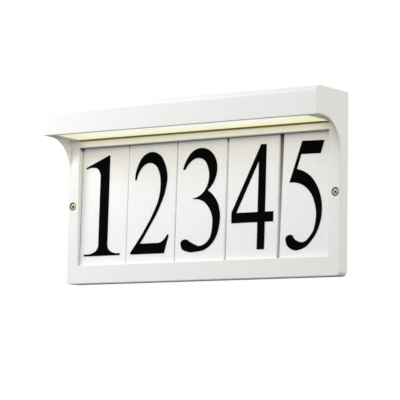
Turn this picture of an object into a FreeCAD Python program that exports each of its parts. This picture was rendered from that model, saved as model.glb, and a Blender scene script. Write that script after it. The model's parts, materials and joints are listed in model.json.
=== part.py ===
"""House number plaque with a lit canopy, drawn in millimetres.

X runs along the plaque to the right, Y runs into the wall and Z points up. The plaque is drawn from its
bottom edge, with the wall at Y = 0, and is then lowered so that the origin is the centre of its back.
"""
import FreeCAD
import Part
import math
import os

from FreeCAD import Vector

# Number tiles and the way they stand in the bay
tile_width = 62.8
tile_height = 129.85
tile_thickness = 3.0
tile_edge_radius = 1.2
tile_lean = 1.5
tile_gaps = [0.3, 0.7, 2.0, 2.9]
first_tile_lap = 0.5
last_tile_lap = 2.4
last_tile_turn = 1.0
tile_head_lap = 0.8
tile_foot_lap = 1.5
tile_play = 0.2
tile_lift_room = 1.9

# Numerals
numeral_foot_margin = 11.3
numeral_head_margin = 9.55
numeral_offsets = [-0.5, -0.3, 0.3, -0.1, -1.1]
numeral_relief = 0.4

# Size of the grid that the numerals are drawn on
drawn_tile_width = 62.8
drawn_numeral_height = 109.0

# Frame round the bay
bay_back_gap = 1.2
stile_width = 14.0
rail_height = 20.2
header_height = 6.9
lip_thickness = 3.4
bay_web = 1.8
bay_edge_chamfer = 0.4
corner_radius = 5.5

# Canopy and its cheeks
canopy_depth = 58.4
canopy_face = 29.0
canopy_above_header = 1.6
underside_drop = 0.8
canopy_edge_radius = 6.0
cheek_thickness = 2.6
cheek_setback = 11.7
edge_chamfer = 0.8
wall = 3.0

# Light opening in the underside of the canopy
ledge_thickness = 1.2
front_ledge = 4.9
rear_ledge = 3.0
end_ledge = 1.6
light_before_header = 1.3
lens_flange = 1.2
lens_clearance = 0.3

# Back of the casting, its gasket and its wall plate
rim_width = 3.0
plate_thickness = 1.5
plate_clearance = 0.4
plate_room = 0.2
plate_corner_radius = 4.0
gasket_thickness = 1.0
gasket_width = 7.0
gasket_inner_radius = 1.0
gasket_seat_web = 2.5

# Holes in the wall plate, with their heights above the underside of the canopy
box_screw_spacing = 83.3
box_screw_height = 3.0
box_slot_width = 4.8
box_slot_length = 11.0
cable_hole_radius = 8.0
cable_hole_height = 7.0
grommet_wall = 2.2
grommet_lip = 1.6
grommet_lip_thickness = 1.0
earth_screw_x = 24.0
earth_head_radius = 2.6
earth_head_height = 1.4

# Face screws
face_screw_inset = 6.2
face_screw_height = 84.3
face_screw_radius = 2.0
face_head_radius = 3.9
face_head_height = 2.3
face_head_chamfer = 1.0
recess_reach = 2.1
recess_width = 1.0
recess_depth = 1.5
counterbore_radius = 4.6
counterbore_depth = 3.0
screw_clearance = 0.15
thread_clearance = 0.05
screw_tip_gap = 0.3

# Light strip
board_end_gap = 19.5
board_front_gap = 4.0
board_rear_gap = 9.9
board_thickness = 1.6
board_drop = 6.0
led_pitch = 24.0
led_size = 3.5
led_height = 0.9

# Small screws and the bosses that they go into
small_screw_radius = 1.4
small_head_radius = 2.7
small_head_height = 1.8
boss_radius = 3.5
boss_hole_end = 1.0

# Supply
driver_end_gap = 41.5
driver_length = 78.0
driver_width = 17.0
driver_height = 14.0
driver_edge_radius = 1.5
driver_ear = 8.0
driver_ear_width = 13.0
driver_ear_thickness = 2.0
driver_back_gap = 6.0
driver_drop = 4.0

# Terminal block
terminal_end_gap = 77.5
terminal_length = 22.0
terminal_height = 12.0
terminal_depth = 11.0
terminal_above_lens = 1.5
terminal_chamfer = 1.0
terminal_ways = 3
terminal_hole_size = 2.8
terminal_hole_drop = 2.4
terminal_hole_depth = 7.0
terminal_peg_radius = 1.6

# Extra length of a cutting tool, and the closest two equal places can be
spare = 1.0
tiny = 1e-4

# Values that follow from the sizes above
lean = math.radians(tile_lean)
plate_front = -plate_thickness
seat_plane = plate_front - gasket_thickness
tile_depth = tile_height * math.sin(lean) + tile_thickness * math.cos(lean)
frame_depth = lip_thickness + tile_play + tile_depth + bay_back_gap - seat_plane
opening = (len(tile_gaps) + 1) * tile_width + sum(tile_gaps) - first_tile_lap - last_tile_lap
side = opening / 2
width = opening + 2 * stile_width
half = width / 2
shelf = rail_height - tile_foot_lap
header_bottom = shelf + tile_height * math.cos(lean) - tile_head_lap
header_top = header_bottom + header_height
gap_top = header_top + canopy_above_header
canopy_bottom = gap_top + underside_drop
height = canopy_bottom + canopy_face
roof = height - wall
numeral_height = tile_height - numeral_foot_margin - numeral_head_margin
cheek_radius = canopy_depth - frame_depth - cheek_setback
tile_face = -frame_depth + lip_thickness + tile_play
turn_room = tile_height * math.sin(math.radians(last_tile_turn))
pocket_side = side + last_tile_lap + turn_room + tile_play
ring_inset = rim_width + plate_clearance + gasket_width + plate_clearance
canopy_inner = -canopy_depth + wall
light_front = -canopy_depth + front_ledge
light_back = -frame_depth - light_before_header
rear_wall = light_back + rear_ledge
ledge_top = canopy_bottom + ledge_thickness
flange_top = ledge_top + lens_flange
face_screw_x = half - face_screw_inset
cable_z = canopy_bottom + cable_hole_height
driver_x = half - driver_end_gap - driver_ear - driver_length / 2
driver_y = seat_plane - driver_back_gap - driver_width / 2
driver_top = roof - driver_drop
board_length = width - 2 * (wall + board_end_gap)
board_front = canopy_inner + board_front_gap
board_width = driver_y - driver_width / 2 - board_rear_gap - board_front
board_y = board_front + board_width / 2
board_under = roof - board_drop - board_thickness
terminal_x = -half + terminal_end_gap + terminal_length / 2
terminal_z = flange_top + terminal_above_lens + terminal_height / 2
led_pairs = math.floor(board_length / (2 * led_pitch))
board_screw_xs = [s * (led_pairs - 1) * led_pitch for s in (-1, 0, 1)]
driver_screw_xs = [driver_x + s * (driver_length + driver_ear) / 2 for s in (-1, 1)]


def save(name, shape):
    placed = shape.copy()
    placed.translate(Vector(0, 0, -height / 2))
    placed.exportStep(f"parts/{name}.step")
    print(name, len(placed.Solids), "solid", round(placed.Volume / 1000, 2), "cm3")


def box(x0, x1, y0, y1, z0, z1):
    return Part.makeBox(x1 - x0, y1 - y0, z1 - z0, Vector(x0, y0, z0))


def centred_box(x, y, z, length, depth, tall):
    """A box with its middle at x and y and its foot at z."""
    return box(x - length / 2, x + length / 2, y - depth / 2, y + depth / 2, z, z + tall)


def prism(points, x0, x1):
    """A polygon in the side view, drawn along X from x0 to x1."""
    corners = [Vector(x0, y, z) for y, z in points]
    face = Part.Face(Part.makePolygon(corners + corners[:1]))
    return face.extrude(Vector(x1 - x0, 0, 0))


def rod_y(radius, x, z, y0, y1):
    return Part.makeCylinder(radius, y1 - y0, Vector(x, y0, z), Vector(0, 1, 0))


def rod_z(radius, x, y, z0, z1):
    return Part.makeCylinder(radius, z1 - z0, Vector(x, y, z0))


def back_plate(inset, radius, y0, y1):
    """A plate with rounded corners that keeps the same distance from the casting's edges all round."""
    plate = box(-half + inset, half - inset, y0, y1, inset, height - inset)
    corners = [e for e in plate.Edges if abs(e.Vertexes[0].Y - e.Vertexes[-1].Y) > tiny]
    return plate.makeFillet(radius, corners)


def floor_depth(z):
    """Y of the sloping face that the tiles lean on, at height z."""
    return tile_face + tile_thickness / math.cos(lean) + (z - shelf) * math.tan(lean)


def lean_back(shape):
    """Leans a shape that is drawn upright at the origin and stands it on the shelf of the bay."""
    placed = shape.copy()
    placed.rotate(Vector(0, 0, 0), Vector(1, 0, 0), -tile_lean)
    placed.translate(Vector(0, tile_face, shelf))
    return placed


# Casting

def underside(y):
    """Height of the canopy's underside, which falls a little from its front edge to the frame."""
    return canopy_bottom - underside_drop * (y + canopy_depth) / (canopy_depth - frame_depth)


def side_outline():
    """Outline of the casting seen from its end: canopy, cheek and frame."""
    top_y = -canopy_depth + canopy_edge_radius
    top_z = height - canopy_edge_radius
    cheek_y = -frame_depth - cheek_radius
    cheek_z = canopy_bottom - cheek_radius
    reach = math.sqrt(0.5)
    corners = [(0, 0), (0, height), (top_y, height), (-canopy_depth, top_z), (-canopy_depth, canopy_bottom),
               (cheek_y, underside(cheek_y)), (-frame_depth, cheek_z), (-frame_depth, 0)]
    arcs = {2: (top_y - canopy_edge_radius * reach, top_z + canopy_edge_radius * reach),
            5: (cheek_y + cheek_radius * reach, cheek_z + cheek_radius * reach)}
    ends = [Vector(-half, y, z) for y, z in corners]
    edges = []
    for i, start in enumerate(ends):
        finish = ends[(i + 1) % len(ends)]
        if i in arcs:
            edges.append(Part.Arc(start, Vector(-half, *arcs[i]), finish).toShape())
        else:
            edges.append(Part.makeLine(start, finish))
    return Part.Wire(edges)


def on_rim(edge):
    """True for an outer edge that shows from the front, round an end face or along the foot."""
    points = [v.Point for v in edge.Vertexes]
    at_end = all(abs(p.x - points[0].x) < tiny and abs(abs(p.x) - half) < tiny for p in points)
    at_wall = all(abs(p.y) < tiny for p in points)
    at_foot = all(p.z < corner_radius + tiny for p in points)
    if at_foot:
        return all(abs(p.y + frame_depth) < tiny for p in points)
    return at_end and not at_wall


def outer_block():
    block = Part.Face(side_outline()).extrude(Vector(width, 0, 0))
    corners = [e for e in block.Edges if all(abs(v.Z) < tiny for v in e.Vertexes)
               and abs(e.Vertexes[0].X - e.Vertexes[-1].X) < tiny]
    block = block.makeFillet(corner_radius, corners)
    return block.makeChamfer(edge_chamfer, [e for e in block.Edges if on_rim(e)])


def bay_cut():
    """Space for the tiles: the opening, and the slot round it that holds their edges."""
    front = -frame_depth - spare
    opening_cut = prism([(front, rail_height), (front, header_bottom),
                         (floor_depth(header_bottom), header_bottom),
                         (floor_depth(rail_height), rail_height)], -side, side)
    slot_cut = box(-pocket_side, pocket_side, -tile_play, tile_thickness, 0, tile_height + tile_lift_room)
    return opening_cut.fuse(lean_back(slot_cut)).removeSplitter()


def canopy_cut():
    """Hollow of the canopy, open to the wall, and the light opening below it."""
    seat_front = seat_plane - gasket_seat_web
    sill = header_top - bay_web
    hollow = box(-half + wall, half - wall, canopy_inner, seat_front, flange_top, roof)
    rear = box(-half + ring_inset, half - ring_inset, seat_front - spare, spare,
               flange_top, height - ring_inset)
    trough = prism([(canopy_inner, ledge_top), (canopy_inner, flange_top + spare),
                    (spare, flange_top + spare), (spare, sill), (rear_wall + bay_web, sill),
                    (rear_wall + bay_web, ledge_top)], -side - end_ledge, side + end_ledge)
    light = box(-side, side, light_front, light_back, header_top - spare, ledge_top + spare)
    return hollow.fuse([rear, trough, light])


def back_cut():
    """Recess for the plate and its gasket, and the room behind the bay."""
    recess = back_plate(rim_width, plate_corner_radius, plate_front - plate_room, spare)
    ring = back_plate(rim_width, plate_corner_radius, seat_plane, spare)
    ring = ring.cut(box(-half + ring_inset, half - ring_inset, seat_plane - spare, spare,
                        ring_inset, height - ring_inset))
    low = shelf - bay_web
    high = header_top - bay_web + tiny
    rail_back = -frame_depth + wall
    behind = prism([(spare, ring_inset), (rail_back, ring_inset), (rail_back, low),
                    (floor_depth(low) + bay_web, low), (floor_depth(high) + bay_web, high), (spare, high)],
                   -side, side)
    return recess.fuse([ring, behind])


def face_screw_cut(x):
    front = -frame_depth
    bore = rod_y(counterbore_radius, x, face_screw_height, front - spare, front + counterbore_depth)
    return bore.fuse(rod_y(face_screw_radius + screw_clearance, x, face_screw_height, front, spare))


def small_screw_places():
    """X and Y of each screw into the canopy roof, with the height of the boss's foot."""
    board = [(x, board_y, roof - board_drop) for x in board_screw_xs]
    return board + [(x, driver_y, driver_top) for x in driver_screw_xs]


def bay_rim_edges(shape):
    """Front edges of the bay opening, where the casting has its sharpness taken off."""
    found = []
    for edge in shape.Edges:
        points = [v.Point for v in edge.Vertexes]
        in_front = all(abs(p.y + frame_depth) < tiny for p in points)
        in_bay = all(abs(p.x) < side + tiny for p in points)
        in_height = all(rail_height - tiny < p.z < header_bottom + tiny for p in points)
        if in_front and in_bay and in_height and len(points) == 2:
            found.append(edge)
    return found


def housing():
    body = outer_block()
    below = -canopy_depth - spare
    between_cheeks = prism([(below, -spare), (below, underside(below)), (-frame_depth, gap_top),
                            (-frame_depth, -spare)], -half + cheek_thickness, half - cheek_thickness)
    gap_over_header = box(-side, side, -frame_depth - spare, rear_wall, header_top, gap_top)
    body = body.cut([between_cheeks, gap_over_header, bay_cut(), canopy_cut(), back_cut()])
    places = small_screw_places()
    body = body.fuse([rod_z(boss_radius, x, y, foot, roof + spare) for x, y, foot in places])
    holes = [rod_z(small_screw_radius + thread_clearance, x, y, foot - spare, roof + boss_hole_end)
             for x, y, foot in places]
    body = body.cut(holes + [face_screw_cut(-face_screw_x), face_screw_cut(face_screw_x)])
    body = body.removeSplitter()
    return body.makeChamfer(bay_edge_chamfer, bay_rim_edges(body))


# Tiles and numerals

def tile_lefts():
    """Left edge of each tile at its foot."""
    left = -side - first_tile_lap
    lefts = [left]
    for gap in tile_gaps:
        left += tile_width + gap
        lefts.append(left)
    return lefts


def tile_blank():
    """A tile standing at the origin with its front face at Y = 0 and its foot at Z = 0."""
    plate = box(0, tile_width, 0, tile_thickness, 0, tile_height)
    rim = [e for e in plate.Edges if all(abs(v.Y) < tiny for v in e.Vertexes)]
    return plate.makeFillet(tile_edge_radius, rim)


def arc_from(start, tangent, finish):
    """The arc that leaves start along the tangent and ends at finish."""
    chord = finish - start
    aside = tangent - chord * (tangent.dot(chord) / chord.dot(chord))
    if aside.Length < tiny:
        return Part.makeLine(start, finish)
    rise = chord.Length / 2 * math.tan(tangent.getAngle(chord) / 2)
    return Part.Arc(start, (start + finish) * 0.5 + aside.normalize() * rise, finish).toShape()


def mirrored(tangent, chord):
    """The tangent at the other end of an arc on this chord."""
    along = Vector(chord).normalize()
    return along * (2 * tangent.dot(along)) - tangent


def tangents(points):
    """Tangent at each point of a curve, from the circle through it and its two neighbours."""
    inner = []
    for before, here, after in zip(points, points[1:], points[2:]):
        a = here - before
        b = after - here
        inner.append((a * (1 / a.dot(a)) + b * (1 / b.dot(b))).normalize())
    first = mirrored(inner[0], points[1] - points[0])
    last = mirrored(inner[-1], points[-1] - points[-2])
    return [first] + inner + [last]


def curve(points):
    """Pairs of arcs through the points, with no corner where they join."""
    edges = []
    slopes = tangents(points)
    for i in range(len(points) - 1):
        a, b, ta, tb = points[i], points[i + 1], slopes[i], slopes[i + 1]
        chord = b - a
        both = chord.dot(ta + tb)
        bend = 2 * (1 - ta.dot(tb))
        if bend < tiny:
            arm = chord.dot(chord) / (2 * both)
        else:
            arm = (math.sqrt(both ** 2 + bend * chord.dot(chord)) - both) / bend
        joint = (a + b + (ta - tb) * arm) * 0.5
        edges.append(arc_from(a, ta, joint))
        edges.append(arc_from(joint, (b - tb * arm - joint).normalize(), b))
    return edges


def on_tile(x, z):
    """A point of a numeral's drawing, set to the size of the tile."""
    return Vector(x * tile_width / drawn_tile_width, 0, z * numeral_height / drawn_numeral_height)


def outline(*runs):
    """A closed wire from runs of points. A run of two is a straight line and a longer one a curve."""
    edges = []
    for i, run in enumerate(runs):
        points = [on_tile(x, z) for x, z in run]
        following = on_tile(*runs[(i + 1) % len(runs)][0])
        edges += [Part.makeLine(*points)] if len(points) == 2 else curve(points)
        if points[-1].distanceToPoint(following) > tiny:
            edges.append(Part.makeLine(points[-1], following))
    return Part.Wire(edges)


def numeral_one():
    flag = [(-24.2, 94.6), (-16, 96.1), (-10.4, 95), (-6.9, 91.3), (-5.4, 84)]
    left_foot = [(-5.4, 13.5), (-7, 6.9), (-12.5, 3.4), (-24.4, 2.4)]
    right_foot = [(23.6, 2.4), (14.4, 3.2), (8.7, 6.7), (6.7, 13.5)]
    top = [(6.8, 108.5), (5.6, 108.5)]
    tip = [(-24.6, 96.5), (-25, 95.4)]
    return [outline([(-24.4, 0), (23.6, 0)], right_foot, top, tip, flag, left_foot)]


def numeral_two():
    right_tip = [(22, 19.4), (19.2, 15.8), (15.7, 12.8), (9.7, 11.3)]
    outer = [(-13.2, 11.3), (-2.8, 26.5), (10.2, 47.5), (18.2, 67), (20.2, 81), (17, 94.4), (9.6, 105),
             (-0.8, 108.8), (-11.5, 105), (-19, 94.5), (-22.1, 79.6)]
    inner = [(-20.1, 79), (-16.4, 88.6), (-10.4, 94.9), (-3.4, 97), (4.4, 94.1), (9.8, 85.6), (11.6, 73),
             (9.6, 58), (3.2, 43.2), (-7.8, 25.6), (-25.2, 2.3)]
    return [outline([(-25.2, 0), (18.6, 0)], [(24, 18.8), (23.2, 19.9)], right_tip, outer, inner)]


def numeral_three():
    upper = [(-23.7, 87.5), (-20, 96.6), (-11.6, 106.3), (-1.3, 109.3), (10.3, 105.5), (18.5, 94.5),
             (19.4, 82.6), (8.3, 64.3)]
    lower = [(8.3, 64.3), (18.8, 54.8), (24.5, 40), (24, 26.6), (17, 10), (6.2, 2), (-4, 0.2), (-14, 0.2),
             (-23.4, 5.4), (-23.4, 11.7), (-18.8, 13.7), (-10.3, 9.8), (0.7, 6.3), (10.6, 11.6), (15.4, 26),
             (12.7, 42.2), (4.2, 52), (-9.8, 55.5)]
    inner = [(-9.8, 56.5), (2.4, 61.8), (9.1, 73.8), (8.6, 86.8), (2.4, 96.5), (-6, 98.7), (-14.6, 94.9),
             (-20.9, 87.1)]
    return [outline(upper, lower, inner)]


def numeral_four():
    bar_left = [(-25.2, 28.1), (7, 28.1)]
    stem = [(16, 0), (16, 28.1)]
    bar_right = [(26.2, 28.1), (26.2, 38.6)]
    top = [(16, 38.6), (16, 108.5)]
    slope = [(9.3, 108.5), (-25.2, 39.3)]
    body = outline(bar_left, [(7, 28.1), (7, 0)], stem, bar_right, top, slope)
    return [body, outline([(-19.2, 38.6), (7, 38.6)], [(7, 91.5), (-19.2, 38.9)])]


def numeral_five():
    bowl = [(-12.8, 79.6), (2.8, 72.7), (13.8, 58.5), (18.6, 41), (17.2, 24.6), (9.2, 8.2), (-2.4, -1.6),
            (-14, -2.8), (-22, 3.4), (-22.2, 11), (-17.8, 12.7), (-10.6, 7), (-2.4, 5), (6.6, 11.8),
            (12, 28), (10.2, 43.4), (3.2, 56.5), (-7.2, 63.9), (-21.2, 65.8)]
    return [outline(bowl, [(-7.6, 108.3), (18.8, 108)], [(14.8, 94.7), (-8.3, 94.7)])]


def numeral_solid(wires):
    """Raised numeral, about the middle of its tile and with its foot at Z = 0."""
    face = Part.Face(wires[0])
    for hole in wires[1:]:
        face = face.cut(Part.Face(hole))
    return face.extrude(Vector(0, -numeral_relief, 0))


def stand_tile(shape, left, turn):
    """Turns a tile about the right end of its foot and leans it back in its place."""
    placed = shape.copy()
    placed.rotate(Vector(tile_width, 0, 0), Vector(0, 1, 0), turn)
    placed.translate(Vector(left, 0, 0))
    return lean_back(placed)


def save_tiles():
    drawings = [numeral_one, numeral_two, numeral_three, numeral_four, numeral_five]
    for i, left in enumerate(tile_lefts()):
        turn = last_tile_turn if i == len(drawings) - 1 else 0.0
        save(f"tile_{i + 1}", stand_tile(tile_blank(), left, turn))
        numeral = numeral_solid(drawings[i]())
        numeral.translate(Vector(tile_width / 2 + numeral_offsets[i], 0, numeral_foot_margin))
        save(f"numeral_{i + 1}", stand_tile(numeral, left, turn))


# Light opening and light strip

def diffuser_lens():
    """Milky strip that drops into the light opening and rests on its ledges by a flange."""
    gap = lens_clearance
    front = light_front + gap
    back = light_back - gap
    body = prism([(front, underside(front)), (back, underside(back)), (back, ledge_top), (front, ledge_top)],
                 -side + gap, side - gap)
    flange = box(-side - end_ledge + gap, side + end_ledge - gap, canopy_inner + gap,
                 rear_wall + bay_web - gap, ledge_top, flange_top)
    return body.fuse(flange).removeSplitter()


def led_board():
    board = centred_box(0, board_y, board_under, board_length, board_width, board_thickness)
    holes = [rod_z(small_screw_radius + screw_clearance, x, board_y, board_under - spare, roof)
             for x in board_screw_xs]
    return board.cut(holes)


def leds():
    """Lamps in pairs about the middle, so that a board screw falls half-way between two of them."""
    xs = [(i + 0.5 - led_pairs) * led_pitch for i in range(2 * led_pairs)]
    foot = board_under - led_height
    return Part.makeCompound([centred_box(x, board_y, foot, led_size, led_size, led_height) for x in xs])


def small_screw(x, y, under_head, length):
    """Flat-headed screw driven upwards into the roof."""
    head = rod_z(small_head_radius, x, y, under_head - small_head_height, under_head)
    return head.fuse(rod_z(small_screw_radius, x, y, under_head, under_head + length)).removeSplitter()


def board_screws():
    return Part.makeCompound([small_screw(x, board_y, board_under, board_thickness + board_drop)
                              for x in board_screw_xs])


def driver():
    """Potted supply with a fixing ear at each end."""
    body = centred_box(driver_x, driver_y, driver_top - driver_height, driver_length, driver_width,
                       driver_height)
    uprights = [e for e in body.Edges if abs(e.Vertexes[0].Z - e.Vertexes[-1].Z) > tiny]
    body = body.makeFillet(driver_edge_radius, uprights)
    ears = centred_box(driver_x, driver_y, driver_top - driver_ear_thickness,
                       driver_length + 2 * driver_ear, driver_ear_width, driver_ear_thickness)
    holes = [rod_z(small_screw_radius + screw_clearance, x, driver_y, driver_top - driver_height, roof)
             for x in driver_screw_xs]
    return body.fuse(ears).cut(holes).removeSplitter()


def driver_screws():
    under_ear = driver_top - driver_ear_thickness
    return Part.makeCompound([small_screw(x, driver_y, under_ear, driver_ear_thickness + driver_drop)
                              for x in driver_screw_xs])


# Wall plate and what it carries

def slot(x, z, length, breadth, y0, y1):
    flat = (length - breadth) / 2
    run = box(x - flat, x + flat, y0, y1, z - breadth / 2, z + breadth / 2)
    return run.fuse([rod_y(breadth / 2, x + s * flat, z, y0, y1) for s in (-1, 1)]).removeSplitter()


def wall_plate():
    """Steel plate that takes the box screws, the face screws and the cable."""
    plate = back_plate(rim_width + plate_clearance, plate_corner_radius, plate_front, 0)
    far = plate_front - spare
    threads = [(-face_screw_x, face_screw_height, face_screw_radius),
               (face_screw_x, face_screw_height, face_screw_radius),
               (earth_screw_x, cable_z, small_screw_radius),
               (terminal_x, terminal_z, terminal_peg_radius)]
    cuts = [rod_y(radius + thread_clearance, x, z, far, spare) for x, z, radius in threads]
    cuts.append(rod_y(cable_hole_radius, 0, cable_z, far, spare))
    for s in (-1, 1):
        cuts.append(slot(s * box_screw_spacing / 2, canopy_bottom + box_screw_height,
                         box_slot_length, box_slot_width, far, spare))
    return plate.cut(cuts).removeSplitter()


def wall_gasket():
    """Foam ring between the plate and the seat in the back of the casting."""
    outer = rim_width + plate_clearance
    ring = back_plate(outer, plate_corner_radius, seat_plane, plate_front)
    middle = back_plate(outer + gasket_width, gasket_inner_radius, seat_plane - spare, spare)
    holes = [rod_y(face_screw_radius + screw_clearance, x, face_screw_height, seat_plane - spare, spare)
             for x in (-face_screw_x, face_screw_x)]
    return ring.cut([middle] + holes)


def cable_grommet():
    """Rubber bush with a lip, pressed into the plate's cable hole."""
    front = plate_front - grommet_lip_thickness
    body = rod_y(cable_hole_radius - thread_clearance, 0, cable_z, plate_front, 0)
    lip = rod_y(cable_hole_radius + grommet_lip, 0, cable_z, front, plate_front)
    bore = rod_y(cable_hole_radius - grommet_wall, 0, cable_z, front - spare, spare)
    return body.fuse(lip).cut(bore).removeSplitter()


def earth_screw():
    front = plate_front - earth_head_height
    head = rod_y(earth_head_radius, earth_screw_x, cable_z, front, plate_front)
    shank = rod_y(small_screw_radius, earth_screw_x, cable_z, plate_front, -screw_tip_gap)
    return head.fuse(shank).removeSplitter()


def terminal_block():
    """Push-in block with a row of square wire holes, on a peg that snaps into the plate."""
    front = plate_front - terminal_depth
    foot = terminal_z - terminal_height / 2
    block = box(terminal_x - terminal_length / 2, terminal_x + terminal_length / 2, front, plate_front,
                foot, foot + terminal_height)
    rim = [e for e in block.Edges if all(v.Y < front + tiny for v in e.Vertexes)]
    block = block.makeChamfer(terminal_chamfer, rim)
    peg = rod_y(terminal_peg_radius, terminal_x, terminal_z, plate_front, -screw_tip_gap)
    pitch = terminal_length / terminal_ways
    middle_y = front + (terminal_hole_depth - spare) / 2
    hole_foot = terminal_z - terminal_hole_drop - terminal_hole_size / 2
    holes = [centred_box(terminal_x + (i - (terminal_ways - 1) / 2) * pitch, middle_y, hole_foot,
                         terminal_hole_size, terminal_hole_depth + spare, terminal_hole_size)
             for i in range(terminal_ways)]
    return block.fuse(peg).cut(holes).removeSplitter()


# Face screws

def cross_recess(x, front):
    """Cross slot for the driver in the head of a face screw."""
    bars = []
    for length, tall in ((2 * recess_reach, recess_width), (recess_width, 2 * recess_reach)):
        bars.append(box(x - length / 2, x + length / 2, front - spare, front + recess_depth,
                        face_screw_height - tall / 2, face_screw_height + tall / 2))
    return bars


def face_screw(x):
    under_head = -frame_depth + counterbore_depth
    front = under_head - face_head_height
    head = rod_y(face_head_radius, x, face_screw_height, front, under_head)
    rim = [e for e in head.Edges if len(e.Vertexes) == 1 and e.Vertexes[0].Y < front + tiny]
    head = head.makeChamfer(face_head_chamfer, rim)
    shank = rod_y(face_screw_radius, x, face_screw_height, under_head, -screw_tip_gap)
    return head.fuse(shank).cut(cross_recess(x, front)).removeSplitter()


def face_screws():
    return Part.makeCompound([face_screw(-face_screw_x), face_screw(face_screw_x)])


def main():
    os.makedirs("parts", exist_ok=True)
    save_tiles()
    pieces = [housing, diffuser_lens, led_board, leds, board_screws, driver, driver_screws, wall_plate,
              wall_gasket, cable_grommet, earth_screw, terminal_block, face_screws]
    for piece in pieces:
        save(piece.__name__, piece())


main()
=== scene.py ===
import json
import math

import bpy
from mathutils import Euler, Matrix, Vector


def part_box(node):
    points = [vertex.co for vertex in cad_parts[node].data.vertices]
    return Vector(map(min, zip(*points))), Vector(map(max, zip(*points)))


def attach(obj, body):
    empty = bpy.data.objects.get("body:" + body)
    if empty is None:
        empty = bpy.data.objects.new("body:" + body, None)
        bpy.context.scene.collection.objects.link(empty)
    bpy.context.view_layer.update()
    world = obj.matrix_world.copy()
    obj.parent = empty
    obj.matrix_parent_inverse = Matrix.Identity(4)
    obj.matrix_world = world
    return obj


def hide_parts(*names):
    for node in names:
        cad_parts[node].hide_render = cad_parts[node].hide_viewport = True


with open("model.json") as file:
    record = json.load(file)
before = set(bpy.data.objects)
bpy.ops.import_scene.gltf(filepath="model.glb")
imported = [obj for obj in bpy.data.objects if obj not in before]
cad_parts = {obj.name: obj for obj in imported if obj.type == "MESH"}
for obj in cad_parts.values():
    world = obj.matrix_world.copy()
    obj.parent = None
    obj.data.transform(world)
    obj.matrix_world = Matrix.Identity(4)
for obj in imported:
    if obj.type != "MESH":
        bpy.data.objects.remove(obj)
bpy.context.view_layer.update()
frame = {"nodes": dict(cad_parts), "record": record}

nodes = frame["nodes"]
mm = 0.001


def add_object(name, data):
    obj = bpy.data.objects.new(name, data)
    bpy.context.collection.objects.link(obj)
    return obj


def new_mesh(name, verts, faces):
    mesh = bpy.data.meshes.new(name)
    mesh.from_pydata(verts, [], faces)
    return mesh


# Camera, fitted to the corners, tiles, numerals and screws of the photograph

image_width = 400
focal_length_px = 2235.1
sensor_width_mm = 36.0
camera_place = (1.3287, -1.9058, -0.2490)
camera_yaw = math.radians(35.04)
camera_pitch = math.radians(5.92)
camera_roll = math.radians(0.857)


def make_camera():
    """Looks up at the plaque from its right, as the photograph does."""
    data = bpy.data.cameras.new("camera")
    data.sensor_width = sensor_width_mm
    data.lens = sensor_width_mm * focal_length_px / image_width
    camera = add_object("camera", data)
    turn = Euler((math.radians(90) + camera_pitch, 0, camera_yaw)).to_matrix()
    turn = turn @ Matrix.Rotation(camera_roll, 3, "Z")
    camera.matrix_world = Matrix.Translation(camera_place) @ turn.to_4x4()
    bpy.context.scene.camera = camera


make_camera()


# Node trees

class NodeTree:
    """A tree under construction. A value is either a constant or another node's output."""

    def __init__(self, tree):
        self.tree = tree

    def add(self, kind, inputs=None, **settings):
        node = self.tree.nodes.new(kind)
        for key, value in settings.items():
            setattr(node, key, value)
        for key, value in (inputs or {}).items():
            self.join(value, node.inputs[key])
        return node

    def join(self, value, socket):
        if isinstance(value, bpy.types.NodeSocket):
            self.tree.links.new(value, socket)
        else:
            socket.default_value = value

    def maths(self, operation, first, second=0.0):
        node = self.add("ShaderNodeMath", {0: first, 1: second}, operation=operation)
        return node.outputs[0]

    def larger(self, first, second):
        return self.maths("MAXIMUM", first, second)

    def product(self, first, second):
        return self.maths("MULTIPLY", first, second)

    def difference(self, first, second):
        return self.maths("SUBTRACT", first, second)

    def span(self, value, low, high, to_low=0.0, to_high=1.0, smooth=False):
        """Rescales a value from one range to another, clamped at both ends."""
        kind = "SMOOTHSTEP" if smooth else "LINEAR"
        inputs = {0: value, 1: low, 2: high, 3: to_low, 4: to_high}
        return self.add("ShaderNodeMapRange", inputs, interpolation_type=kind).outputs[0]

    def mix(self, factor, first, second):
        node = self.add("ShaderNodeMix", {0: factor, 6: first, 7: second}, data_type="RGBA")
        return node.outputs[2]


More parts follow.
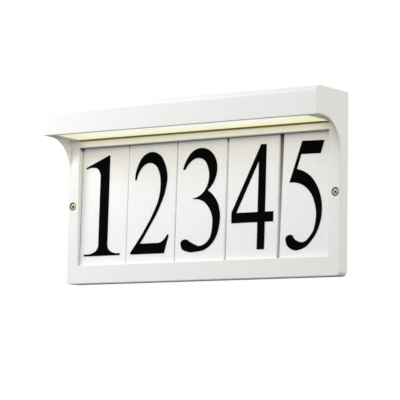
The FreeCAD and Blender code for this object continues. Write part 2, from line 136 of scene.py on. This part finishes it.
class Surface(NodeTree):
    """A material under construction. Its patterns lie in the object's own coordinates."""

    sockets = {"colour": "Base Color", "roughness": "Roughness", "metallic": "Metallic",
               "specular": "Specular IOR Level", "glow": "Emission Color",
               "glow_strength": "Emission Strength"}

    def __init__(self, name):
        self.material = bpy.data.materials.new(name)
        self.material.use_nodes = True
        super().__init__(self.material.node_tree)
        self.shader = self.tree.nodes["Principled BSDF"]
        self.point = self.add("ShaderNodeTexCoord").outputs["Object"]

    def along(self, axis):
        return self.add("ShaderNodeSeparateXYZ", {"Vector": self.point}).outputs[axis]

    def distance(self, axis, place):
        """How far a point is from a place along one axis."""
        return self.maths("ABSOLUTE", self.difference(self.along(axis), place))

    def stretched(self, x, y, z):
        """Coordinates stretched along an axis, so that a pattern runs along it."""
        node = self.add("ShaderNodeMapping", {"Vector": self.point, "Scale": (x, y, z)})
        return node.outputs[0]

    def noise(self, scale, detail=3.0, vector=None):
        inputs = {"Vector": vector or self.point, "Scale": scale, "Detail": detail}
        return self.add("ShaderNodeTexNoise", inputs).outputs["Fac"]

    def spread(self, noise, low=0.0, high=1.0):
        """Rescales a noise, which lies mostly between 0.3 and 0.7, to the whole of a range."""
        return self.span(noise, 0.3, 0.7, low, high)

    def openness(self, reach):
        """0 deep in a narrow gap and 1 on an open surface."""
        node = self.add("ShaderNodeAmbientOcclusion", {"Distance": reach}, samples=8)
        return node.outputs["AO"]

    def soft_edges(self, radius):
        """Rounds the shading of sharp edges, for a coat that flows round them."""
        return self.add("ShaderNodeBevel", {"Radius": radius}, samples=6).outputs["Normal"]

    def bump(self, height, strength, distance, normal=None):
        inputs = {"Height": height, "Strength": strength, "Distance": distance}
        if normal:
            inputs["Normal"] = normal
        node = self.add("ShaderNodeBump", inputs)
        self.join(node.outputs["Normal"], self.shader.inputs["Normal"])

    def set(self, **values):
        """Sets the shader's own sockets and gives the finished material."""
        for key, value in values.items():
            self.join(value, self.shader.inputs[self.sockets[key]])
        return self.material


def tone(hue, factor=1.0):
    return tuple(c * factor for c in hue) + (1.0,)


def grey(level):
    return tone((level, level, level))


# Materials

# The light alone leaves two narrow places paler than they are in the photograph: the slot behind
# the header's lower edge, and the wide gap between the tiles 4 and 5 with the bay floor behind it.
# The paint and the tiles get painted shade in these places only, the darker the less open they are.
# The last value lies just in front of the bay floor's foot.
gap_reach = 5 * mm
header_foot = 54.7 * mm
slot_half_length = 157 * mm
wide_gap = (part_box("tile_4")[1].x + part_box("tile_5")[0].x) / 2
bay_floor_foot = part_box("tile_4")[0].y + 2.8 * mm


def powder_coat():
    """Satin white paint with the faint orange peel of powder coating, and painted shade in the slot
    and behind the wide gap."""
    mat = Surface("powder_coat")
    hue = (0.868, 0.872, 0.855)
    clouds = mat.spread(mat.noise(14.0, 2.0))
    specks = mat.span(mat.noise(2600.0, 1.0), 0.62, 0.75)
    body = mat.mix(clouds, tone(hue, 0.985), tone(hue))
    body = mat.mix(specks, body, tone(hue, 0.96))
    peel = mat.noise(700.0, 2.0)
    mat.bump(peel, 0.10, 0.1 * mm, mat.soft_edges(0.7 * mm))

    # Painted shade in the slot behind the header's lower edge, the darker the less open the paint
    # is there.
    past_slot = mat.difference(mat.distance("X", 0.0), slot_half_length)
    from_slot = mat.larger(mat.distance("Z", header_foot), past_slot)
    slot_shade = mat.larger(mat.span(mat.openness(gap_reach), 0.45, 0.98),
                         mat.span(from_slot, 2 * mm, 5 * mm))

    # Painted shade on the bay floor behind the wide gap, darkest at the top and paler towards the
    # foot.
    before_floor = mat.difference(bay_floor_foot, mat.along("Y"))
    above_floor = mat.difference(mat.along("Z"), header_foot)
    from_gap = mat.larger(mat.distance("X", wide_gap), mat.larger(before_floor, above_floor))
    paler_at_foot = mat.span(mat.along("Z"), -60 * mm, 50 * mm, 0.7, 0.08)
    gap_shade = mat.larger(mat.span(from_gap, 2 * mm, 3 * mm), paler_at_foot)

    # Both masks mix the painted shade's colour, grey(0.05), into the paint.
    return mat.set(colour=mat.mix(mat.product(slot_shade, gap_shade), grey(0.05), body),
                   roughness=mat.spread(peel, 0.36, 0.48), specular=0.35)


def tile_plastic():
    """Smooth white plastic with a very fine grain, and painted shade at the sides of the wide gap
    and at the heads of the tiles, which stand in the slot."""
    mat = Surface("tile_plastic")
    hue = (0.868, 0.880, 0.892)
    clouds = mat.spread(mat.noise(22.0))
    grain = mat.noise(1800.0, 2.0)
    mat.bump(grain, 0.08, 0.05 * mm, mat.soft_edges(0.4 * mm))
    body = mat.mix(clouds, tone(hue, 0.985), tone(hue))

    # Painted shade, the darker the less open the surface is: at the sides of the wide gap, and at
    # the heads of the tiles under the header.
    openness = mat.openness(gap_reach)
    side_shade = mat.larger(mat.span(openness, 0.0, 0.34),
                          mat.span(mat.distance("X", wide_gap), 3 * mm, 6 * mm, 0.0, 0.97))
    head_shade = mat.larger(mat.span(openness, 0.20, 0.75),
                          mat.span(mat.along("Z"), header_foot - 5 * mm, header_foot, 1.0, 0.0))

    # Both masks mix the painted shade's colour, grey(0.02), into the plastic.
    return mat.set(colour=mat.mix(mat.product(side_shade, head_shade), grey(0.02), body),
                   roughness=mat.spread(grain, 0.34, 0.44), specular=0.35)


def numeral_ink():
    """Dense black enamel with slight unevenness."""
    mat = Surface("numeral_ink")
    clouds = mat.noise(60.0)
    mat.bump(mat.noise(1500.0, 2.0), 0.1, 0.05 * mm)
    darker, paler = tone((0.0008, 0.0009, 0.0012)), tone((0.0016, 0.0017, 0.0022))
    return mat.set(colour=mat.mix(clouds, darker, paler),
                   roughness=mat.spread(clouds, 0.45, 0.6), specular=0.012)


led_pitch = 24 * mm
# Strength of the lens's painted glow.
lens_glow = 0.66


def milky_lens():
    """Milky strip lit from behind by the LEDs. Its glow is painted light, whitest under the LEDs
    and yellower between them and towards its rear edge and its ends."""
    mat = Surface("milky_lens")
    low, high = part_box("diffuser_lens")
    to_rear = mat.span(mat.along("Y"), low.y + 10 * mm, high.y - 5 * mm, smooth=True)
    to_ends = mat.span(mat.distance("X", 0.0), 110 * mm, 158 * mm, smooth=True)
    between_leds = mat.maths("COSINE", mat.product(mat.along("X"), 2 * math.pi / led_pitch))
    patches = mat.product(mat.span(between_leds, -1.0, 1.0, 0.0, 0.12),
                          mat.difference(1.0, to_rear))
    yellow = mat.maths("ADD", mat.product(to_rear, 0.75), patches)
    yellow = mat.larger(yellow, mat.product(to_ends, 0.8))
    grain = mat.noise(1200.0, 2.0)
    mat.bump(grain, 0.06, 0.05 * mm)
    # The glow is painted light that stands for the LEDs' light coming through the lens.
    return mat.set(colour=tone((0.60, 0.60, 0.52)),
                   glow=mat.mix(yellow, tone((1.0, 1.0, 0.95)), tone((0.93, 0.89, 0.36))),
                   glow_strength=lens_glow,
                   roughness=mat.spread(grain, 0.32, 0.45), specular=0.3)


def lens_edge_shade():
    """Rear edge of the lens: the yellow of the lens's edge, darkened with painted shade for the
    shadowed gap over the header.
    """
    mat = Surface("lens_edge_shade")
    streaks = mat.noise(300.0, vector=mat.stretched(0.2, 1.0, 1.0))
    mat.bump(streaks, 0.1, 0.05 * mm)
    # Dark olive colour: painted shade over the yellow of the lens's edge.
    darker, paler = tone((0.16, 0.15, 0.004)), tone((0.20, 0.185, 0.006))
    return mat.set(colour=mat.mix(streaks, darker, paler),
                   roughness=mat.spread(streaks, 0.5, 0.6), specular=0.1)


def metal(name, hue, roughness, scale, direction=(1.0, 1.0, 1.0), dull=0.86, recess_shade=None):
    """Metal with fine streaks along one direction and slightly dull patches. Recess shade, where it
    is given, is the colour of painted shade in its recesses, the darker the less open they are."""
    mat = Surface(name)
    streaks = mat.noise(scale, 4.0, vector=mat.stretched(*direction))
    patches = mat.span(mat.noise(0.06 * scale), 0.35, 0.65)
    mat.bump(streaks, 0.1, 0.05 * mm)
    body = mat.mix(mat.product(mat.spread(streaks), patches), tone(hue, dull), tone(hue))
    # Painted shade in the cross recess and along the rim, the darker the less open the metal is.
    if recess_shade:
        body = mat.mix(mat.span(mat.openness(2.5 * mm), 0.66, 0.97), tone(recess_shade), body)
    return mat.set(colour=body, metallic=1.0,
                   roughness=mat.spread(streaks, roughness - 0.07, roughness + 0.07))


def moulded(name, hue, roughness, scale, grain_depth=0.2):
    """Plastic or rubber with a fine moulded grain."""
    mat = Surface(name)
    grain = mat.noise(scale)
    clouds = mat.spread(mat.noise(30.0, 2.0))
    mat.bump(grain, grain_depth, 0.1 * mm)
    return mat.set(colour=mat.mix(clouds, tone(hue, 0.93), tone(hue)),
                   roughness=mat.spread(grain, roughness - 0.05, roughness + 0.05))


def foam():
    """Black closed-cell foam with open pores where it is cut."""
    mat = Surface("foam")
    cells = mat.add("ShaderNodeTexVoronoi", {"Vector": mat.point, "Scale": 1400.0})
    pores = cells.outputs["Distance"]
    mat.bump(pores, 0.6, 0.3 * mm)
    darker, paler = tone((0.018, 0.018, 0.019)), tone((0.05, 0.05, 0.052))
    return mat.set(colour=mat.mix(mat.span(pores, 0.2, 0.6), darker, paler),
                   roughness=0.9, specular=0.2)


finishes = {
    "frame_white": powder_coat(),
    "tile_white": tile_plastic(),
    "numeral_black": numeral_ink(),
    "lens_milky": milky_lens(),
    # The brass screws carry painted shade in their recesses.
    "screw_brass": metal("dull_brass", (0.92, 0.82, 0.53), 0.62, 900.0,
                         recess_shade=(0.035, 0.02, 0.008)),
    "plate_steel": metal("zinc_plate", (0.66, 0.68, 0.70), 0.42, 520.0,
                         direction=(0.05, 1.0, 1.0), dull=0.93),
    "screw_steel": metal("zinc_screw", (0.66, 0.66, 0.67), 0.35, 900.0),
    "gasket_foam": foam(),
    "grommet_rubber": moulded("black_rubber", (0.028, 0.028, 0.029), 0.62, 900.0),
    "board_white": moulded("solder_mask", (0.80, 0.81, 0.79), 0.32, 500.0, grain_depth=0.1),
    "led_yellow": moulded("phosphor", (0.85, 0.70, 0.22), 0.3, 1500.0),
    "driver_case": moulded("driver_case", (0.76, 0.76, 0.74), 0.5, 1100.0),
    "terminal_grey": moulded("terminal_grey", (0.40, 0.41, 0.42), 0.42, 900.0),
}


def dress_nodes():
    """Gives each CAD node the finish of its slot in the record."""
    for entry in frame["record"]["subparts"]:
        obj = nodes[entry["node"]]
        finish = finishes[entry["material_slot"]]
        if not obj.material_slots:
            obj.data.materials.append(finish)
        for place in obj.material_slots:
            place.material = finish


dress_nodes()


# Pieces

def add_piece(name, verts, faces, material, slot, replaced=None, smooth=True):
    mesh = new_mesh(name, verts, faces)
    for polygon in mesh.polygons:
        polygon.use_smooth = smooth
    mesh.materials.append(material)
    piece = add_object(name, mesh)
    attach(piece, "root")
    if replaced:
        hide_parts(replaced)
    return piece


def bake_modifiers(piece):
    """Turns the modifiers of a piece into its mesh."""
    depsgraph = bpy.context.evaluated_depsgraph_get()
    mesh = bpy.data.meshes.new_from_object(piece.evaluated_get(depsgraph))
    old = piece.data
    piece.modifiers.clear()
    piece.data = mesh
    bpy.data.meshes.remove(old)


def rings_to_faces(ring_count, sides):
    """Faces of a tube whose rings come one after another, with both ends closed."""
    faces = []
    for i in range(ring_count - 1):
        for j in range(sides):
            k = (j + 1) % sides
            faces.append((i * sides + j, i * sides + k, (i + 1) * sides + k, (i + 1) * sides + j))
    faces.append(tuple(range(sides))[::-1])
    faces.append(tuple((ring_count - 1) * sides + j for j in range(sides)))
    return faces


def repeated(form, frames):
    """Copies of a form as one mesh, each turned and then moved to its place."""
    verts, faces = form
    all_verts, all_faces = [], []
    for turn, place in frames:
        start = len(all_verts)
        all_verts += [turn @ v + place for v in verts]
        all_faces += [tuple(start + k for k in face) for face in faces]
    return all_verts, all_faces


class Screw:
    """Pan-head screw with a cross recess. It points along Z, and the top of its head is at the
    origin. The recess is given by its reach, its breadth and its depth."""

    sides = 40
    head_steps = 6
    steps_per_turn = 8

    def __init__(self, head_radius, head_height, shank_radius, length, pitch, recess):
        self.head_radius = head_radius
        self.head_height = head_height
        self.shank_radius = shank_radius
        self.length = length
        self.pitch = pitch
        self.recess = recess

    def rings(self):
        """Radius, depth and share of thread of each ring, from the top of the head to the tip."""
        rings = []
        edge = 0.45 * self.head_height
        crown = 0.12 * self.head_height
        top_radius = self.head_radius - edge
        shares = [i / self.head_steps for i in range(1, self.head_steps + 1)]
        for share in shares:
            rings.append((top_radius * share, crown * share ** 2, 0.0))
        for share in shares:
            angle = math.radians(90) * share
            rings.append((top_radius + edge * math.sin(angle),
                          crown + edge * (1 - math.cos(angle)), 0.0))
        rings.append((self.head_radius, self.head_height, 0.0))
        rings.append((self.shank_radius, self.head_height, 0.0))
        depth = self.head_height + 0.3 * self.pitch
        while depth < self.length - 0.6 * self.pitch:
            rings.append((self.shank_radius, depth, 1.0))
            depth += self.pitch / self.steps_per_turn
        rings.append((0.82 * self.shank_radius, self.length - 0.5 * self.pitch, 0.0))
        rings.append((0.6 * self.shank_radius, self.length, 0.0))
        return rings

    def form(self):
        verts = []
        rings = self.rings()
        groove = 0.16 * self.shank_radius
        for radius, depth, threaded in rings:
            for j in range(self.sides):
                angle = 2 * math.pi * j / self.sides
                phase = (depth / self.pitch - j / self.sides) % 1.0
                r = radius - threaded * groove * (1 - abs(2 * phase - 1))
                verts.append(Vector((r * math.cos(angle), r * math.sin(angle), depth)))
        return verts, rings_to_faces(len(rings), self.sides)

    def wedge(self, crosswise):
        """One of the two tapered wedges that cut the recess into the head."""
        reach, breadth, depth = self.recess
        verts = []
        for level, share, narrow in ((-0.5 * mm, 1.0, 1.0), (depth, 0.35, 0.75)):
            for sx, sy in ((-1, -1), (1, -1), (1, 1), (-1, 1)):
                x, y = sx * reach * share, sy * breadth * narrow / 2
                verts.append(Vector((y, x, level) if crosswise else (x, y, level)))
        faces = [(0, 1, 2, 3), (7, 6, 5, 4), (4, 5, 1, 0), (5, 6, 2, 1), (6, 7, 3, 2), (7, 4, 0, 3)]
        return verts, faces if crosswise else [face[::-1] for face in faces]


def make_screws(node, slot, screw, places, turn, spins=(0, 0, 0)):
    """All the screws of one node. Places are the tops of their heads, turn points their axis,
    and spins are the angles in degrees at which they stopped."""
    frames = [(turn @ Matrix.Rotation(math.radians(spin), 3, "Z"), place)
              for place, spin in zip(places, spins)]
    piece = add_piece(f"{node}_cut", *repeated(screw.form(), frames), finishes[slot], slot, node)
    wedges = [new_mesh("wedge", *repeated(screw.wedge(crosswise), frames))
              for crosswise in (False, True)]
    cutters = [add_object("wedge", mesh) for mesh in wedges]
    for cutter in cutters:
        modifier = piece.modifiers.new("recess", "BOOLEAN")
        modifier.operation = "DIFFERENCE"
        modifier.solver = "EXACT"
        modifier.object = cutter
    bake_modifiers(piece)
    for cutter in cutters:
        bpy.data.objects.remove(cutter)
    piece.data.set_sharp_from_angle(angle=math.radians(35))


into_wall = Euler((math.radians(-90), 0, 0)).to_matrix()
upwards = Matrix.Identity(3)


def make_face_screws():
    low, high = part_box("face_screws")
    radius = (high.z - low.z) / 2
    middle = (high.z + low.z) / 2
    screw = Screw(head_radius=radius, head_height=2.3 * mm, shank_radius=2.0 * mm,
                  length=high.y - low.y, pitch=0.7 * mm, recess=(2.8 * mm, 1.3 * mm, 2.0 * mm))
    places = [Vector((x, low.y, middle)) for x in (low.x + radius, high.x - radius)]
    make_screws("face_screws", "screw_brass", screw, places, into_wall, spins=(25, 36))


def make_roof_screws(node, count):
    """A row of screws along X, driven up into the canopy's roof."""
    low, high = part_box(node)
    radius = 2.7 * mm
    screw = Screw(head_radius=radius, head_height=1.8 * mm, shank_radius=1.4 * mm,
                  length=high.z - low.z, pitch=0.6 * mm, recess=(1.6 * mm, 0.8 * mm, 1.2 * mm))
    first, last = low.x + radius, high.x - radius
    xs = [first + (last - first) * i / (count - 1) for i in range(count)]
    places = [Vector((x, (low.y + high.y) / 2, low.z)) for x in xs]
    make_screws(node, "screw_steel", screw, places, upwards)


def make_earth_screw():
    low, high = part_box("earth_screw")
    screw = Screw(head_radius=(high.x - low.x) / 2, head_height=1.4 * mm, shank_radius=1.4 * mm,
                  length=high.y - low.y, pitch=0.6 * mm, recess=(1.5 * mm, 0.8 * mm, 0.9 * mm))
    place = Vector(((low.x + high.x) / 2, low.y, (low.z + high.z) / 2))
    make_screws("earth_screw", "screw_brass", screw, [place], into_wall)


make_face_screws()
make_roof_screws("board_screws", 3)
make_roof_screws("driver_screws", 2)
make_earth_screw()


def make_lens_lip():
    """Thin lip that hangs from the rear edge of the lens, in front of the gap over the header. It
    is dark with painted shade, which stands for the shadowed gap.
    """
    low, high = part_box("diffuser_lens")
    half_length = high.x - 1.6 * mm
    top = low.z + 0.3 * mm
    foot = top - 1.55 * mm
    front, back = -15.25 * mm, -14.4 * mm
    corner = 0.15 * mm
    profile = [(front, top), (front, foot + corner), (front + corner, foot),
               (back - corner, foot), (back, foot + corner), (back, top)]
    verts = [(x, y, z) for x in (-half_length, half_length) for y, z in profile]
    faces = rings_to_faces(2, len(profile))
    # The lip carries the painted shade of the lens's rear edge.
    add_piece("lens_lip", verts, faces, lens_edge_shade(), "lens_milky", smooth=False)


make_lens_lip()


# Floor, world and lamps

floor_reach = 4.0
floor_height = -0.32


def make_floor():
    """Floor that the camera sees as pale and that throws little light up onto the plaque."""
    corners = [(sx * floor_reach, sy * floor_reach, floor_height)
               for sx, sy in ((-1, -1), (1, -1), (1, 1), (-1, 1))]
    mesh = new_mesh("floor", corners, [(0, 1, 2, 3)])
    floor = add_object("floor", mesh)
    mat = Surface("pale_floor")
    pale = mat.mix(mat.noise(1.5, 2.0), grey(0.86), grey(0.88))
    dim = tone((0.15, 0.16, 0.155))
    seen = mat.add("ShaderNodeLightPath").outputs["Is Camera Ray"]
    mesh.materials.append(mat.set(colour=mat.mix(seen, dim, pale), roughness=0.7))


ambient_strength = 1.67
zenith_share = 0.02
ambient_colour = (1.0, 0.998, 0.99, 1.0)


def make_world():
    """Soft light from all round that fades to a small share overhead, so that the canopy's top
    edge doesn't clip. The camera and mirror-like surfaces see plain white instead."""
    world = bpy.data.worlds.new("studio")
    bpy.context.scene.world = world
    world.use_nodes = True
    world.node_tree.nodes.clear()
    tree = NodeTree(world.node_tree)
    rays = tree.add("ShaderNodeLightPath").outputs
    seen = tree.larger(rays["Is Camera Ray"], rays["Is Glossy Ray"])
    seen = tree.larger(seen, rays["Is Transmission Ray"])
    direction = tree.add("ShaderNodeTexCoord").outputs["Generated"]
    upward = tree.add("ShaderNodeSeparateXYZ", {"Vector": direction}).outputs["Z"]
    strength = tree.span(upward, 0.0, 1.0, ambient_strength, ambient_strength * zenith_share)
    light = tree.add("ShaderNodeBackground", {"Color": ambient_colour, "Strength": strength})
    white = tree.add("ShaderNodeBackground", {"Color": grey(1.0), "Strength": 1.0})
    sky = tree.add("ShaderNodeMixShader", {0: seen, 1: light.outputs[0], 2: white.outputs[0]})
    tree.add("ShaderNodeOutputWorld", {"Surface": sky.outputs[0]})


def add_lamp(name, shape, power, colour):
    data = bpy.data.lights.new(name, "AREA")
    data.shape = shape
    data.energy = power
    data.color = colour
    return add_object(name, data)


def make_lens_light():
    """The light that the lens throws down and back onto the frame and the tiles."""
    low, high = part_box("diffuser_lens")
    lamp = add_lamp("lens_light", "RECTANGLE", power=0.028, colour=(1.0, 0.80, 0.56))
    lamp.data.size = high.x - low.x - 10 * mm
    lamp.data.size_y = 36 * mm
    lamp.location = (0, -34.5 * mm, low.z - 0.5 * mm)
    lamp.visible_camera = False
    lamp.visible_glossy = False


def make_lamp(name, place, target, size, power, colour):
    lamp = add_lamp(name, "DISK", power, colour)
    lamp.data.size = size
    lamp.location = place
    lamp.rotation_euler = (Vector(target) - Vector(place)).to_track_quat("-Z", "Y").to_euler()


make_floor()
make_world()
make_lens_light()
make_lamp("left", place=(-0.8, -0.45, 0.5), target=(-0.12, 0, 0.02), size=0.4,
          power=4.4, colour=(0.99, 0.95, 0.96))
make_lamp("near_left", place=(-0.45, -0.6, 0.45), target=(-0.12, 0, 0.02), size=0.4,
          power=1.3, colour=(0.93, 0.94, 1.0))
make_lamp("right", place=(1.9, -0.25, 0.2), target=(0.17, 0, 0), size=1.0,
          power=4.9, colour=(1.0, 0.99, 0.80))

bpy.context.scene.view_settings.view_transform = "Standard"
